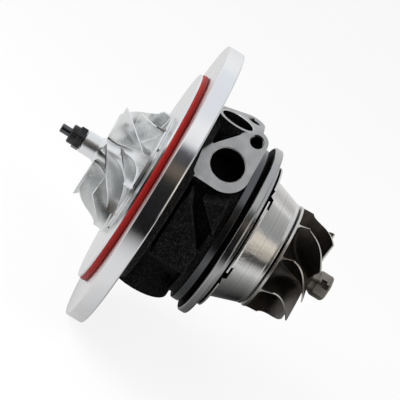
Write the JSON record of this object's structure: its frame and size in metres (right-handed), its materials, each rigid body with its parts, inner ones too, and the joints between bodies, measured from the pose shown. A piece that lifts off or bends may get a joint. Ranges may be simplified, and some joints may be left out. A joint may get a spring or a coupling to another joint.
{
  "type": "turbocharger cartridge",
  "caption": "Turbocharger centre section: black cast bearing housing with a bright compressor back plate, heat shield, and milled compressor and dark turbine wheels on one shaft.",
  "frame": {"origin": "on the rotor axis, in the plane of the V-band flange's turbine face", "axes": "+X along the rotor axis from the compressor to the turbine; +Z out of the oil feed pad"},
  "size_m": [0.1305, 0.13, 0.13],
  "materials": {
    "cast": "rough black casting with machined faces",
    "turned": "bright turned, polished rim",
    "milled": "bright, milled all over with fine cutter lines",
    "red_seal": "glossy red silicone",
    "black_seal": "matt black rubber",
    "black_steel": "black oxide",
    "steel": "ground",
    "bronze": "turned bearing bronze",
    "stainless": "shiny pressed sheet with fine turning lines",
    "nickel_alloy": "dark investment casting with ground tips and edges"
  },
  "bodies": {
    "housing": {"bearing_housing": "cast", "compressor_backplate": "turned", "cover_o_ring": "red_seal", "backplate_inner_o_ring": "black_seal", "backplate_screw_1": "black_steel", "backplate_screw_2": "black_steel", "backplate_screw_3": "black_steel", "backplate_screw_4": "black_steel", "thrust_bearing": "bronze", "thrust_dowel_1": "steel", "thrust_dowel_2": "steel", "oil_deflector": "steel", "compressor_bearing_ring": "steel", "turbine_bearing_inner_ring": "steel", "turbine_bearing_outer_ring": "steel", "heat_shield": "stainless", "compressor_seal_ring": "steel", "turbine_seal_ring": "steel"},
    "rotor": {"turbine_wheel": "nickel_alloy", "rotor_shaft": "steel", "thrust_collar": "steel", "thrust_washer": "steel", "oil_flinger": "steel", "compressor_wheel": "milled", "compressor_nut": "black_steel"},
    "compressor_bush": {"compressor_journal_bearing": "bronze"},
    "turbine_bush": {"turbine_journal_bearing": "bronze"}
  },
  "joints": [
    {"name": "rotor_spin", "type": "hinge", "parent": "housing", "child": "rotor", "pos_m": [0, 0, 0], "axis": [1, 0, 0], "continuous": true},
    {"name": "compressor_bush_spin", "type": "hinge", "parent": "housing", "child": "compressor_bush", "pos_m": [-0.0206, 0, 0], "axis": [1, 0, 0], "continuous": true},
    {"name": "turbine_bush_spin", "type": "hinge", "parent": "housing", "child": "turbine_bush", "pos_m": [0.002, 0, 0], "axis": [1, 0, 0], "continuous": true}
  ],
  "couplings": [
    {"joint": "compressor_bush_spin", "follows": "rotor_spin", "ratio": 0.3},
    {"joint": "turbine_bush_spin", "follows": "rotor_spin", "ratio": 0.3}
  ]
}
